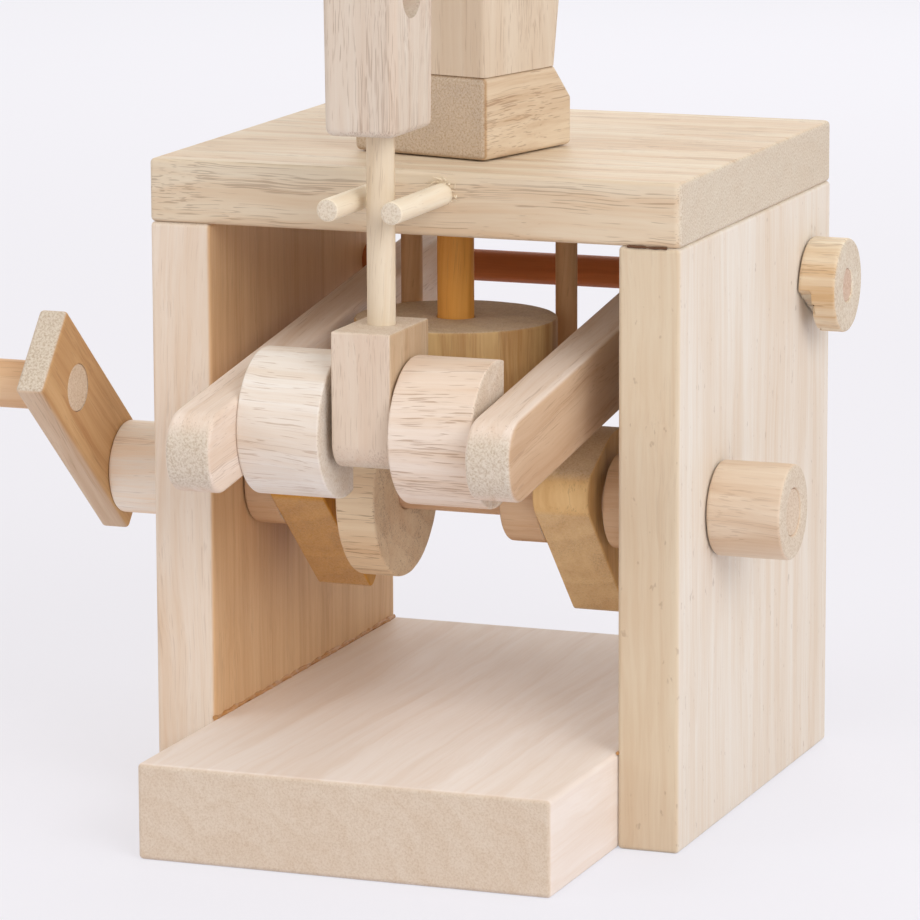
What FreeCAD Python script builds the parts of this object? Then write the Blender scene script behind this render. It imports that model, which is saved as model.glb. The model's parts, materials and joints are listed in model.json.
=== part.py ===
import FreeCAD, Part
import Sketcher
import math
import os
import re

# A wooden crank automaton, in millimetres.
# X runs to the right, Y to the back and Z up. The origin is the middle of the base board's underside.
# The crank turns an axle through both side boards. A friction wheel on it turns the disc above,
# with the upright shaft and the figure on the top board. Two cams lift two levers that hang on a
# rod at the back, and the levers' front axle lifts a rod that runs up between two pegs.

# Driving sizes in millimetres and degrees; each name becomes an alias in the sheet
SIZES = {
    # The box
    "box_width": 120.0,  # width over both side boards
    "panel_thickness": 13.7,  # thickness of a side board
    "panel_depth": 108.0,  # depth of a side board
    "panel_height": 129.7,  # height of a side board
    "top_thickness": 13.7,  # thickness of the top board
    "base_length": 150.0,  # length of the base board, flush at the back
    "base_thickness": 20.9,  # thickness of the base board
    "board_edge": 1.0,  # worn edge of a board
    "corner_wear": 1.6,  # worn right corners of the top board

    # Clearances
    "running_clearance": 0.08,  # radial clearance of a turning dowel
    "glue_clearance": 0.02,  # radial clearance of a glued dowel
    "side_clearance": 0.3,  # end play of what turns beside a board
    "drive_clearance": 0.15,  # friction wheel to friction disc

    # The crankshaft
    "crank_setback": 27.0,  # crank axle behind the front of the side boards
    "crank_drop": 59.7,  # crank axle below the top board
    "axle_radius": 5.0,  # crank axle
    "collar_radius": 10.3,  # hub, collars and cap on the crank axle
    "hub_length": 18.2,  # hub between crank arm and side board
    "cap_length": 16.5,  # cap at the free end of the axle
    "end_recess": 0.4,  # how far a dowel stops inside its cap
    "left_cam_face": 38.5,  # outer face of the left cam from the middle
    "right_collar_face": 37.0,  # inner face of the right collar from the middle
    "cam_collar_length": 9.0,  # collar beside the right cam
    "small_edge": 0.5,  # worn edge of a small piece

    # The crank
    "arm_width": 20.9,  # width of the crank arm
    "arm_thickness": 6.6,  # thickness of the crank arm
    "arm_reach": 33.5,  # axle to handle
    "arm_tip": 15.2,  # crank arm beyond the handle
    "arm_heel": 10.2,  # crank arm beyond the axle
    "arm_angle": 41.0,  # crank arm above level, towards the front
    "handle_radius": 5.3,  # handle dowel
    "handle_length": 42.0,  # handle beyond the crank arm

    # The cams and the friction drive
    "cam_thickness": 12.6,  # thickness of a cam
    "cam_top": 12.0,  # flat top of a cam from the axle, with the tip straight down
    "cam_nose": 6.0,  # middle of the cam's rounded nose in front of the axle
    "cam_nose_radius": 6.1,  # rounded nose
    "cam_rise": 4.0,  # middle of the first curve of the rim behind the axle
    "cam_rise_radius": 18.0,  # first curve of the rim
    "cam_back_radius": 25.3,  # second curve of the rim, up to the tip
    "cam_reach": 31.0,  # tip of a cam from the axle
    "cam_tip_radius": 1.8,  # rounded tip
    "left_cam_angle": 30.5,  # tip of the left cam behind straight down
    "right_cam_angle": 26.5,  # tip of the right cam behind straight down
    "right_cam_inner": 22.5,  # inner face of the right cam from the middle
    "wheel_radius": 20.0,  # friction wheel
    "wheel_thickness": 9.0,  # thickness of the friction wheel
    "wheel_offset": 16.0,  # middle of the friction wheel from the upright shaft
    "disc_radius": 22.0,  # friction disc
    "disc_thickness": 18.0,  # thickness of the friction disc

    # The figure
    "upright_radius": 4.0,  # upright shaft
    "figure_gap": 0.3,  # shoe block above the top board
    "shaft_socket": 12.0,  # depth of the upright shaft in the shoe block
    "shoe_turn": 14.1,  # figure turned to the right
    "shoe_left": 21.3,  # shoe block left of the shaft
    "shoe_right": 13.0,  # shoe block right of the shaft
    "shoe_heel": 7.6,  # shoe block in front of the shaft
    "shoe_toe": 25.9,  # shoe block behind the shaft
    "shoe_height": 17.8,  # height of the shoe block
    "toe_height": 10.6,  # upright part of the toe
    "toe_slope": 6.5,  # run of the sloped toe
    "figure_height": 74.0,  # height of the figure's body
    "hip_height": 24.0,  # where the body is deepest
    "hip_swell": 3.6,  # how far the body swells behind the shoe's top
    "shoulder_radius": 9.0,  # rounded shoulders
    "figure_edge": 1.2,  # worn edge of the figure
    "neck_radius": 4.0,  # neck dowel
    "neck_socket": 10.0,  # depth of the neck dowel in body and head
    "neck_length": 3.0,  # neck that shows
    "head_radius": 13.0,  # round head
    "head_flat": 8.0,  # radius of the head's flat underside

    # The lever frame
    "rod_setback": 92.5,  # rear rod behind the front of the side boards
    "rod_drop": 21.1,  # rear rod below the top board
    "rod_radius": 3.6,  # rear rod
    "rod_cap_radius": 10.5,  # caps of the rear rod
    "rod_cap_length": 8.7,  # length of a rod cap
    "front_axle_reach": 17.0,  # front axle before the side boards
    "front_axle_drop": 38.2,  # front axle below the top board
    "front_axle_radius": 3.0,  # front axle
    "axle_socket": 5.0,  # depth of the front axle in a lever
    "lever_inner": 26.8,  # inner face of a lever from the middle
    "lever_thickness": 10.0,  # thickness of a lever
    "lever_depth": 17.5,  # height of a lever's section
    "rod_lift": 2.1,  # rear rod above the middle line of a lever
    "left_lever_front": 30.0,  # left lever in front of the front axle
    "right_lever_front": 23.0,  # right lever in front of the front axle
    "lever_back": 121.0,  # lever behind the front axle
    "lever_tip_radius": 8.0,  # rounded front of a lever
    "lever_heel_radius": 4.0,  # rounded back of a lever
    "drum_radius": 15.6,  # drum on the front axle
    "drum_length": 18.5,  # length of a drum
    "drum_flat": 4.6,  # flat back of a drum behind its axle
    "drum_gap": 1.2,  # right drum from the right lever

    # The lifted block
    "block_width": 13.3,  # width of the swivel block
    "block_front": 12.2,  # swivel block in front of its axle
    "block_back": 10.2,  # swivel block behind its axle
    "block_drop": 7.5,  # swivel block below its axle
    "block_rise": 21.9,  # swivel block above its axle
    "block_round": 6.0,  # rounded bottom of the swivel block
    "push_radius": 3.0,  # push rod
    "push_socket": 13.0,  # depth of the push rod in each block
    "lifted_gap": 10.6,  # lifted block above the top board
    "lifted_height": 58.0,  # height of the lifted block
    "lifted_width": 15.8,  # width of the lifted block at its bottom
    "lifted_flare": 1.2,  # how much the lifted block widens upwards
    "lifted_front": 12.0,  # lifted block in front of the rod
    "lifted_back": 10.1,  # lifted block behind the rod
    "slot_radius": 5.5,  # half the width of the slot through the lifted block
    "slot_shift": 2.6,  # slot in front of the rod
    "slot_low": 29.5,  # middle of the slot's lower end above the block's bottom
    "slot_high": 42.0,  # middle of the slot's upper end above the block's bottom
    "crown_radius": 5.0,  # rounded top of the lifted block
    "lifted_edge": 1.8,  # rounded edges of the lifted block

    # The dowels in the top board
    "peg_radius": 2.4,  # guide peg
    "peg_spacing": 14.2,  # between the middles of the guide pegs
    "peg_height": 9.0,  # guide pegs above the top board's underside
    "peg_length": 29.5,  # guide peg in front of the board
    "peg_socket": 12.0,  # depth of a guide peg in the board
    "hanging_radius": 2.4,  # hanging rod
    "hanging_spacing": 36.2,  # between the middles of the hanging rods
    "hanging_setback": 47.6,  # hanging rods behind the front of the board
    "hanging_drop": 37.0,  # hanging rod below the board
    "hanging_socket": 9.0,  # depth of a hanging rod in the board
}

document = FreeCAD.newDocument("crank_automaton")
sheet = document.addObject("Spreadsheet::Sheet", "Sizes")
for row, (name, value) in enumerate(SIZES.items(), 1):
    sheet.set("A" + str(row), name.replace("_", " "))
    sheet.set("B" + str(row), str(value))
    sheet.setAlias("B" + str(row), name)
document.recompute()

# Places that several pieces share, written with the names of the sizes
FRONT = "(base_length / 2 - panel_depth)"
INNER = "(box_width / 2 - panel_thickness)"
OUTER = "(box_width / 2)"
CRANK_Y = "(" + FRONT + " + crank_setback)"
TOP = "(panel_height + top_thickness)"
CRANK_Z = "(panel_height - crank_drop)"
DISC_BOTTOM = "(" + CRANK_Z + " + wheel_radius + drive_clearance)"
HUB_LEFT = "(-" + OUTER + " - side_clearance - hub_length)"
ROD_Y = "(" + FRONT + " + rod_setback)"
ROD_Z = "(panel_height - rod_drop)"
AXLE_Y = "(" + FRONT + " - front_axle_reach)"
AXLE_Z = "(panel_height - front_axle_drop)"
LIFTED_Z = "(" + TOP + " + lifted_gap)"


def formula(text):
    """Turn names of sizes into references to the sheet's cells."""

    def cell(found):
        return "Sizes." + found.group() if found.group() in SIZES else found.group()

    return re.sub(r"[a-z_]+", cell, text)


def bind(thing, path, text):
    """Tie a property to a formula in the sheet's sizes."""
    thing.setExpression(path, formula(text))


def place(body, across, back, up):
    """Put a body's own origin at a place in the shared frame."""
    bind(body, ".Placement.Base.x", across)
    bind(body, ".Placement.Base.y", back)
    bind(body, ".Placement.Base.z", up)


def turn(body, axis, angle):
    """Turn a body about an axis through its own origin."""
    body.Placement = FreeCAD.Placement(FreeCAD.Vector(0, 0, 0), FreeCAD.Rotation(axis, 1))
    bind(body, ".Placement.Rotation.Angle", angle)


def new_body(name):
    """Start a piece whose label is also its file's name."""
    body = document.addObject("PartDesign::Body", name)
    body.Label = name
    return body


def new_sketch(body, role, lift=None):
    """Attach a sketch to one of the body's own planes, raised by a formula if one is given."""
    plane = [item for item in body.Origin.OriginFeatures if item.Role == role][0]
    sketch = body.newObject("Sketcher::SketchObject", body.Name + "_outline")
    sketch.AttachmentSupport = [(plane, "")]
    sketch.MapMode = "FlatFace"
    if lift:
        bind(sketch, ".AttachmentOffset.Base.z", lift)
    return sketch


def dimension(sketch, constraint, text):
    """Add a dimension and tie it to a formula."""
    index = sketch.addConstraint(constraint)
    bind(sketch, "Constraints[" + str(index) + "]", text)


def add_rectangle(sketch, left, right, low, high):
    """Draw a rectangle by the distances of its sides from the origin; None puts a side on an axis."""
    corners = [(-1, -1), (1, -1), (1, 1), (-1, 1)]
    first = sketch.GeometryCount
    for index, start in enumerate(corners):
        end = corners[(index + 1) % 4]
        start_point = FreeCAD.Vector(start[0], start[1], 0)
        end_point = FreeCAD.Vector(end[0], end[1], 0)
        sketch.addGeometry(Part.LineSegment(start_point, end_point))
    for index in range(4):
        sketch.addConstraint(Sketcher.Constraint("Coincident", first + index, 2, first + (index + 1) % 4, 1))
    for index in (0, 2):
        sketch.addConstraint(Sketcher.Constraint("Horizontal", first + index))
    for index in (1, 3):
        sketch.addConstraint(Sketcher.Constraint("Vertical", first + index))
    if left is None:
        sketch.addConstraint(Sketcher.Constraint("PointOnObject", first, 1, -2))
    else:
        dimension(sketch, Sketcher.Constraint("DistanceX", first, 1, -1, 1, 1.0), left)
    if low is None:
        sketch.addConstraint(Sketcher.Constraint("PointOnObject", first, 1, -1))
    else:
        dimension(sketch, Sketcher.Constraint("DistanceY", first, 1, -1, 1, 1.0), low)
    dimension(sketch, Sketcher.Constraint("DistanceX", -1, 1, first + 2, 1, 1.0), right)
    dimension(sketch, Sketcher.Constraint("DistanceY", -1, 1, first + 2, 1, 1.0), high)


def add_circle(sketch, radius, across=None, up=None):
    """Draw a circle; None keeps its middle on an axis of the sketch."""
    middle = FreeCAD.Vector(1 if across else 0, 1 if up else 0, 0)
    index = sketch.addGeometry(Part.Circle(middle, FreeCAD.Vector(0, 0, 1), 1))
    dimension(sketch, Sketcher.Constraint("Radius", index, 1.0), radius)
    if across is None and up is None:
        sketch.addConstraint(Sketcher.Constraint("Coincident", index, 3, -1, 1))
        return
    if across is None:
        sketch.addConstraint(Sketcher.Constraint("PointOnObject", index, 3, -2))
    else:
        dimension(sketch, Sketcher.Constraint("DistanceX", -1, 1, index, 3, 1.0), across)
    if up is None:
        sketch.addConstraint(Sketcher.Constraint("PointOnObject", index, 3, -1))
    else:
        dimension(sketch, Sketcher.Constraint("DistanceY", -1, 1, index, 3, 1.0), up)


def add_polygon(sketch, points, dimensions):
    """Draw a closed outline near its place, then fix each corner by its two formulas.

    A formula of a corner left of or below the origin is the distance back to the origin.
    """
    first = sketch.GeometryCount
    for index, start in enumerate(points):
        end = points[(index + 1) % len(points)]
        start_point = FreeCAD.Vector(start[0], start[1], 0)
        end_point = FreeCAD.Vector(end[0], end[1], 0)
        sketch.addGeometry(Part.LineSegment(start_point, end_point))
    for index in range(len(points)):
        following = first + (index + 1) % len(points)
        sketch.addConstraint(Sketcher.Constraint("Coincident", first + index, 2, following, 1))
    for index, (across, up) in enumerate(dimensions):
        for kind, axis, value, text in (("DistanceX", -2, points[index][0], across),
                                        ("DistanceY", -1, points[index][1], up)):
            line = first + index
            if text is None:
                sketch.addConstraint(Sketcher.Constraint("PointOnObject", line, 1, axis))
            elif value < 0:
                dimension(sketch, Sketcher.Constraint(kind, line, 1, -1, 1, -value), text)
            else:
                dimension(sketch, Sketcher.Constraint(kind, -1, 1, line, 1, value), text)


def pad(body, sketch, length):
    """Raise a sketch into a solid."""
    feature = body.newObject("PartDesign::Pad", body.Name + "_pad")
    feature.Profile = sketch
    sketch.Visibility = False
    bind(feature, "Length", length)
    document.recompute()
    return feature


def cut(body, sketch, depth, along_normal=False):
    """Sink a sketch into the body and make sure that it took wood away."""
    before = body.Shape.Volume
    feature = body.newObject("PartDesign::Pocket", body.Name + "_cut")
    feature.Profile = sketch
    sketch.Visibility = False
    feature.Reversed = along_normal
    bind(feature, "Length", depth)
    document.recompute()
    if body.Shape.Volume > before - 0.01:
        raise ValueError(body.Label + ": a cut took nothing away")
    return feature


def soften(body, radius, wanted):
    """Round the edges of the body that the test picks."""
    last = body.Tip
    names = ["Edge" + str(index + 1) for index, edge in enumerate(last.Shape.Edges) if wanted(edge)]
    if not names:
        raise ValueError(body.Label + ": no edge to round")
    feature = body.newObject("PartDesign::Fillet", body.Name + "_edges")
    feature.Base = (last, names)
    bind(feature, "Radius", radius)
    document.recompute()
    return feature


def is_straight(edge):
    """Tell a straight edge from a round one."""
    return isinstance(edge.Curve, Part.Line)


def is_round(radius):
    """Make a test for circular edges of one radius."""
    return lambda edge: isinstance(edge.Curve, Part.Circle) and abs(edge.Curve.Radius - radius) < 0.001


def is_along(axis):
    """Make a test for straight edges that run along one axis of the body."""
    return lambda edge: is_straight(edge) and abs(edge.Curve.Direction.dot(axis)) > 0.999


ALONG_X = FreeCAD.Vector(1, 0, 0)
ALONG_Y = FreeCAD.Vector(0, 1, 0)
ALONG_Z = FreeCAD.Vector(0, 0, 1)
ROUND_STOCK_PLANES = {"x": "YZ_Plane", "y": "XZ_Plane", "z": "XY_Plane"}


def round_stock(name, axis, radius, length, bore=None, edge=None):
    """Make a dowel or a collar; along Y it runs to the front of its origin."""
    body = new_body(name)
    sketch = new_sketch(body, ROUND_STOCK_PLANES[axis])
    add_circle(sketch, radius)
    if bore:
        add_circle(sketch, bore)
    pad(body, sketch, length)
    if edge:
        outside = max(item.Curve.Radius for item in body.Shape.Edges if isinstance(item.Curve, Part.Circle))
        soften(body, edge, is_round(outside))
    return body


# Base board, between the side boards and out to the front
base_board = new_body("base_board")
outline = new_sketch(base_board, "XY_Plane")
add_rectangle(outline, None, "2 * " + INNER, None, "base_length")
pad(base_board, outline, "base_thickness")
soften(base_board, "board_edge", is_straight)
place(base_board, "-" + INNER, "-base_length / 2", "0")


def side_board(name, across):
    """Make a side board with its holes for the crank axle and the rear rod."""
    body = new_body(name)
    outline = new_sketch(body, "YZ_Plane")
    add_rectangle(outline, None, "panel_depth", None, "panel_height")
    add_circle(outline, "axle_radius + running_clearance", "crank_setback", CRANK_Z)
    add_circle(outline, "rod_radius + running_clearance", "rod_setback", ROD_Z)
    pad(body, outline, "panel_thickness")
    soften(body, "board_edge", is_straight)
    place(body, across, FRONT, "0")


side_board("left_panel", "-" + OUTER)
side_board("right_panel", INNER)

# Top board, with the upright shaft's hole and the dowels' sockets
top_board = new_body("top_board")
outline = new_sketch(top_board, "XY_Plane")
add_rectangle(outline, None, "box_width", None, "panel_depth")
add_circle(outline, "upright_radius + running_clearance", "box_width / 2", "crank_setback")
pad(top_board, outline, "top_thickness")
soften(top_board, "corner_wear", lambda edge: is_along(ALONG_Z)(edge) and edge.BoundBox.XMin > 0.001)
soften(top_board, "board_edge", lambda edge: is_straight(edge) and (
    edge.BoundBox.XMax < 0.001 or not is_along(ALONG_Z)(edge)))
sockets = new_sketch(top_board, "XZ_Plane")
for side in (" - ", " + "):
    middle = "box_width / 2" + side + "peg_spacing / 2"
    add_circle(sockets, "peg_radius + glue_clearance", middle, "peg_height")
cut(top_board, sockets, "peg_socket")
sockets = new_sketch(top_board, "XY_Plane")
for side in (" - ", " + "):
    middle = "box_width / 2" + side + "hanging_spacing / 2"
    add_circle(sockets, "hanging_radius + glue_clearance", middle, "hanging_setback")
cut(top_board, sockets, "hanging_socket", along_normal=True)
place(top_board, "-" + OUTER, FRONT, "panel_height")

# Guide pegs and hanging rods
for name, side in (("left", "-"), ("right", "")):
    peg = round_stock(name + "_guide_peg", "y", "peg_radius", "peg_socket + peg_length", edge="small_edge")
    place(peg, side + "peg_spacing / 2", FRONT + " + peg_socket", "panel_height + peg_height")
    rod = round_stock(name + "_hanging_rod", "z", "hanging_radius", "hanging_socket + hanging_drop",
                      edge="small_edge")
    place(rod, side + "hanging_spacing / 2", FRONT + " + hanging_setback", "panel_height - hanging_drop")

# Crank axle with its hub, collars and cap
AXLE_BORE = "axle_radius + glue_clearance"
AXLE_LEFT = HUB_LEFT + " - arm_thickness"
AXLE_RIGHT = OUTER + " + side_clearance + cap_length - end_recess"
crank_axle = round_stock("crank_axle", "x", "axle_radius", AXLE_RIGHT + " - (" + AXLE_LEFT + ")")
place(crank_axle, AXLE_LEFT, CRANK_Y, CRANK_Z)
for name, length, across in (
        ("crank_hub", "hub_length", HUB_LEFT),
        ("left_collar", INNER + " - side_clearance - left_cam_face", "-" + INNER + " + side_clearance"),
        ("cam_collar", "cam_collar_length", "right_cam_inner - cam_collar_length"),
        ("right_collar", INNER + " - side_clearance - right_collar_face", "right_collar_face"),
        ("axle_cap", "cap_length", OUTER + " + side_clearance")):
    collar = round_stock(name, "x", "collar_radius", length, AXLE_BORE, "small_edge")
    place(collar, across, CRANK_Y, CRANK_Z)

# Crank arm, square at both ends, and the handle glued through it
crank_arm = new_body("crank_arm")
outline = new_sketch(crank_arm, "YZ_Plane")
add_rectangle(outline, "arm_width / 2", "arm_width / 2", "arm_heel", "arm_reach + arm_tip")
add_circle(outline, AXLE_BORE)
add_circle(outline, "handle_radius + glue_clearance", None, "arm_reach")
pad(crank_arm, outline, "arm_thickness")
soften(crank_arm, "board_edge", is_straight)
turn(crank_arm, ALONG_X, "90 - arm_angle")
place(crank_arm, AXLE_LEFT, CRANK_Y, CRANK_Z)
crank_handle = round_stock("crank_handle", "x", "handle_radius", "handle_length + arm_thickness",
                           edge="small_edge")
place(crank_handle, AXLE_LEFT + " - handle_length", CRANK_Y + " - arm_reach * cos(arm_angle)",
      CRANK_Z + " + arm_reach * sin(arm_angle)")


def cam(name, across, angle):
    """Make a drop cam: its rim grows around the back to the tip, and a flat flank falls back to the nose."""
    body = new_body(name)
    outline = new_sketch(body, "YZ_Plane")
    top, nose, rise, reach = [SIZES["cam_" + key] for key in ("top", "nose", "rise", "reach")]
    nose_radius, rise_radius, back_radius, tip_radius = [
        SIZES["cam_" + key + "_radius"] for key in ("nose", "rise", "back", "tip")]
    # The two curves of the rim meet at their middles' level, and the tip touches the second from inside
    level = top - rise_radius
    back = rise + rise_radius - back_radius
    tip_up = tip_radius - reach
    tip_across = back + math.sqrt((back_radius - tip_radius) ** 2 - (tip_up - level) ** 2)
    tip_end = math.atan2(tip_up - level, tip_across - back)
    # The flank touches the nose and the tip
    across_flank = tip_across + nose
    up_flank = tip_up - top + nose_radius
    lean = math.acos((nose_radius - tip_radius) / math.hypot(across_flank, up_flank))
    flank = math.atan2(up_flank, across_flank) - lean
    for middle, radius, start, end in (
            ((-nose, top - nose_radius), nose_radius, math.pi / 2, flank + 2 * math.pi),
            ((rise, level), rise_radius, 0, math.pi / 2),
            ((back, level), back_radius, tip_end, 0),
            ((tip_across, tip_up), tip_radius, flank, tip_end)):
        circle = Part.Circle(FreeCAD.Vector(middle[0], middle[1], 0), FreeCAD.Vector(0, 0, 1), radius)
        outline.addGeometry(Part.ArcOfCircle(circle, start, end))
    normal = FreeCAD.Vector(math.cos(flank), math.sin(flank), 0)
    high_end = FreeCAD.Vector(-nose, top - nose_radius, 0) + normal * nose_radius
    low_end = FreeCAD.Vector(tip_across, tip_up, 0) + normal * tip_radius
    outline.addGeometry(Part.LineSegment(FreeCAD.Vector(-nose, top, 0), FreeCAD.Vector(rise, top, 0)))
    outline.addGeometry(Part.LineSegment(high_end, low_end))
    for first, first_end, second, second_end in (
            (0, 1, 4, 1), (4, 2, 1, 2), (1, 1, 2, 2), (2, 1, 3, 2), (3, 1, 5, 2), (5, 1, 0, 2)):
        outline.addConstraint(Sketcher.Constraint("Tangent", first, first_end, second, second_end))
    outline.addConstraint(Sketcher.Constraint("Horizontal", 4))
    outline.addConstraint(Sketcher.Constraint("Horizontal", 1, 3, 2, 3))
    for index, key in enumerate(("nose", "rise", "back", "tip")):
        name_of_radius = "cam_" + key + "_radius"
        dimension(outline, Sketcher.Constraint("Radius", index, SIZES[name_of_radius]), name_of_radius)
    dimension(outline, Sketcher.Constraint("DistanceX", 0, 3, -1, 1, nose), "cam_nose")
    dimension(outline, Sketcher.Constraint("DistanceX", -1, 1, 1, 3, rise), "cam_rise")
    dimension(outline, Sketcher.Constraint("DistanceY", -1, 1, 4, 1, top), "cam_top")
    dimension(outline, Sketcher.Constraint("DistanceY", 3, 3, -1, 1, -tip_up), "cam_reach - cam_tip_radius")
    add_circle(outline, AXLE_BORE)
    pad(body, outline, "cam_thickness")
    bore = SIZES["axle_radius"] + SIZES["glue_clearance"]
    soften(body, "small_edge", lambda edge: not is_along(ALONG_X)(edge) and not is_round(bore)(edge))
    turn(body, ALONG_X, angle)
    place(body, across, CRANK_Y, CRANK_Z)


cam("left_cam", "-left_cam_face", "left_cam_angle")
cam("right_cam", "right_cam_inner", "right_cam_angle")

# Friction wheel under the disc, and the disc on the upright shaft
friction_wheel = round_stock("friction_wheel", "x", "wheel_radius", "wheel_thickness", AXLE_BORE,
                             "small_edge")
place(friction_wheel, "-wheel_offset - wheel_thickness / 2", CRANK_Y, CRANK_Z)
SHAFT_BORE = "upright_radius + glue_clearance"
friction_disc = round_stock("friction_disc", "z", "disc_radius", "disc_thickness", SHAFT_BORE, "small_edge")
place(friction_disc, "0", CRANK_Y, DISC_BOTTOM)
upright_shaft = round_stock("upright_shaft", "z", "upright_radius",
                            TOP + " + figure_gap + shaft_socket - " + DISC_BOTTOM)
place(upright_shaft, "0", CRANK_Y, DISC_BOTTOM)

# Shoe block with its sloped toe at the back, turned with the figure
shoe_block = new_body("shoe_block")
outline = new_sketch(shoe_block, "YZ_Plane")
heel, toe = SIZES["shoe_heel"], SIZES["shoe_toe"]
add_polygon(outline,
            [(-heel, 0), (toe, 0), (toe, 1), (toe - 1, 2), (-heel, 2)],
            [("shoe_heel", None), ("shoe_toe", None), ("shoe_toe", "toe_height"),
             ("shoe_toe - toe_slope", "shoe_height"), ("shoe_heel", "shoe_height")])
pad(shoe_block, outline, "shoe_left + shoe_right")
soften(shoe_block, "figure_edge", is_straight)
socket = new_sketch(shoe_block, "XY_Plane")
add_circle(socket, SHAFT_BORE, "shoe_left")
cut(shoe_block, socket, "shaft_socket", along_normal=True)
turn(shoe_block, ALONG_Z, "-shoe_turn")
FIGURE_X = "-shoe_left * cos(shoe_turn)"
FIGURE_Y = CRANK_Y + " + shoe_left * sin(shoe_turn)"
place(shoe_block, FIGURE_X, FIGURE_Y, TOP + " + figure_gap")

# Figure's body, flush with the shoe in front and at both sides
figure_body = new_body("figure_body")
outline = new_sketch(figure_body, "YZ_Plane")
back = SIZES["shoe_toe"] - SIZES["toe_slope"]
hip = back + SIZES["hip_swell"]
add_polygon(outline,
            [(-heel, 0), (back, 0), (hip, 1), (back, 2), (-heel, 2)],
            [("shoe_heel", None), ("shoe_toe - toe_slope", None),
             ("shoe_toe - toe_slope + hip_swell", "hip_height"),
             ("shoe_toe - toe_slope", "figure_height"), ("shoe_heel", "figure_height")])
pad(figure_body, outline, "shoe_left + shoe_right")
shoulder_level = SIZES["figure_height"] - 0.001
is_level = is_along(ALONG_Y)
soften(figure_body, "shoulder_radius", lambda edge: is_level(edge) and edge.BoundBox.ZMin > shoulder_level)
soften(figure_body, "figure_edge", lambda edge: is_straight(edge) and edge.BoundBox.ZMax > 0.001)
socket = new_sketch(figure_body, "XY_Plane", "figure_height")
add_circle(socket, "neck_radius + glue_clearance", "(shoe_left + shoe_right) / 2",
           "(shoe_toe - toe_slope - shoe_heel) / 2")
cut(figure_body, socket, "neck_socket")
turn(figure_body, ALONG_Z, "-shoe_turn")
BODY_BOTTOM = TOP + " + figure_gap + shoe_height"
place(figure_body, FIGURE_X, FIGURE_Y, BODY_BOTTOM)

# Neck dowel and plain round head, over the middle of the body
NECK_ACROSS = "(shoe_right - shoe_left) / 2"
NECK_BACK = "(shoe_toe - toe_slope - shoe_heel) / 2"
NECK_X = NECK_ACROSS + " * cos(shoe_turn) + " + NECK_BACK + " * sin(shoe_turn)"
NECK_Y = CRANK_Y + " - " + NECK_ACROSS + " * sin(shoe_turn) + " + NECK_BACK + " * cos(shoe_turn)"
neck_peg = round_stock("neck_peg", "z", "neck_radius", "2 * neck_socket + neck_length")
place(neck_peg, NECK_X, NECK_Y, BODY_BOTTOM + " + figure_height - neck_socket")
figure_head = new_body("figure_head")
outline = new_sketch(figure_head, "XZ_Plane")
flat, ball = SIZES["head_flat"], SIZES["head_radius"]
rise = math.sqrt(ball ** 2 - flat ** 2)
origin = FreeCAD.Vector(0, 0, 0)
rim = FreeCAD.Vector(flat, 0, 0)
crown = FreeCAD.Vector(0, rise + ball, 0)
circle = Part.Circle(FreeCAD.Vector(0, rise, 0), FreeCAD.Vector(0, 0, 1), ball)
outline.addGeometry(Part.LineSegment(origin, rim))
outline.addGeometry(Part.ArcOfCircle(circle, -math.asin(rise / ball), math.pi / 2))
outline.addGeometry(Part.LineSegment(crown, origin))
outline.addConstraint(Sketcher.Constraint("Coincident", 0, 2, 1, 1))
outline.addConstraint(Sketcher.Constraint("Coincident", 1, 2, 2, 1))
outline.addConstraint(Sketcher.Constraint("Coincident", 2, 2, 0, 1))
outline.addConstraint(Sketcher.Constraint("Coincident", 0, 1, -1, 1))
outline.addConstraint(Sketcher.Constraint("PointOnObject", 0, 2, -1))
outline.addConstraint(Sketcher.Constraint("PointOnObject", 2, 1, -2))
outline.addConstraint(Sketcher.Constraint("PointOnObject", 1, 3, -2))
dimension(outline, Sketcher.Constraint("DistanceX", -1, 1, 0, 2, flat), "head_flat")
dimension(outline, Sketcher.Constraint("Radius", 1, ball), "head_radius")
turned = figure_head.newObject("PartDesign::Revolution", "figure_head_turned")
turned.Profile = outline
turned.ReferenceAxis = (outline, ["V_Axis"])
turned.Angle = 360
outline.Visibility = False
document.recompute()
socket = new_sketch(figure_head, "XY_Plane")
add_circle(socket, "neck_radius + glue_clearance")
cut(figure_head, socket, "neck_socket", along_normal=True)
place(figure_head, NECK_X, NECK_Y, BODY_BOTTOM + " + figure_height + neck_length")

# Where the rear rod crosses a lever, seen along the lever from its front axle
ROD_BEHIND = "(rod_setback + front_axle_reach)"
ROD_OVER = "(front_axle_drop - rod_drop)"
LEVER_REACH = "hypot(" + ROD_BEHIND + "; " + ROD_OVER + ")"
ROD_ALONG = "cath(" + LEVER_REACH + "; rod_lift)"
LEVER_TILT = "atan2(" + ROD_OVER + "; " + ROD_BEHIND + ") - asin(rod_lift / " + LEVER_REACH + ")"


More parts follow.
